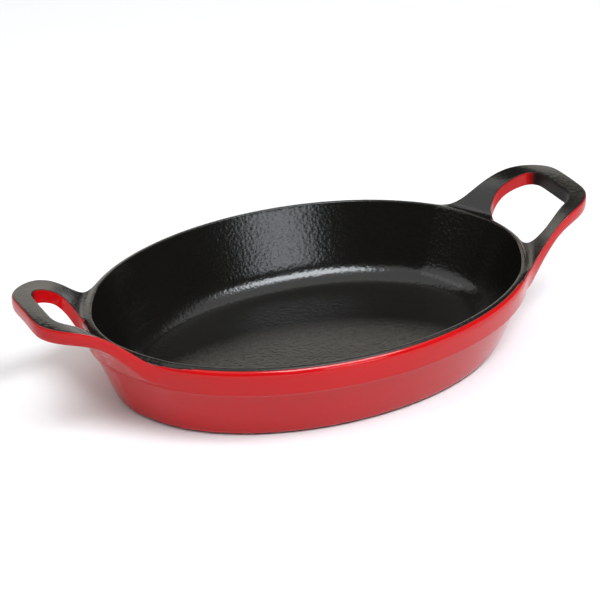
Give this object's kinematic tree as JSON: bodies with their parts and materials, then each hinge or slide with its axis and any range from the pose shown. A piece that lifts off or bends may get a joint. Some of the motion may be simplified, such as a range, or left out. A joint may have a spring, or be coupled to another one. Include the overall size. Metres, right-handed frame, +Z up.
{
  "type": "baking dish",
  "caption": "Oval enamelled cast-iron baking dish with a raised loop handle at each end, gloss red outside and matt black inside, for oven and table",
  "frame": {"origin": "on the resting plane, under the middle of the base", "axes": "+X runs along the dish from handle to handle, +Y across it, +Z up"},
  "size_m": [0.3084, 0.1694, 0.0664],
  "materials": {
    "cast_iron": "as cast, grit blasted, hidden under the enamel",
    "red_enamel": "gloss vitreous enamel",
    "black_enamel": "matt, finely pebbled vitreous enamel",
    "base_enamel": "matt vitreous enamel"
  },
  "bodies": {
    "root": {"iron_casting": "cast_iron", "red_outer_enamel": "red_enamel", "black_inner_enamel": "black_enamel", "black_base_enamel": "base_enamel"}
  },
  "joints": []
}
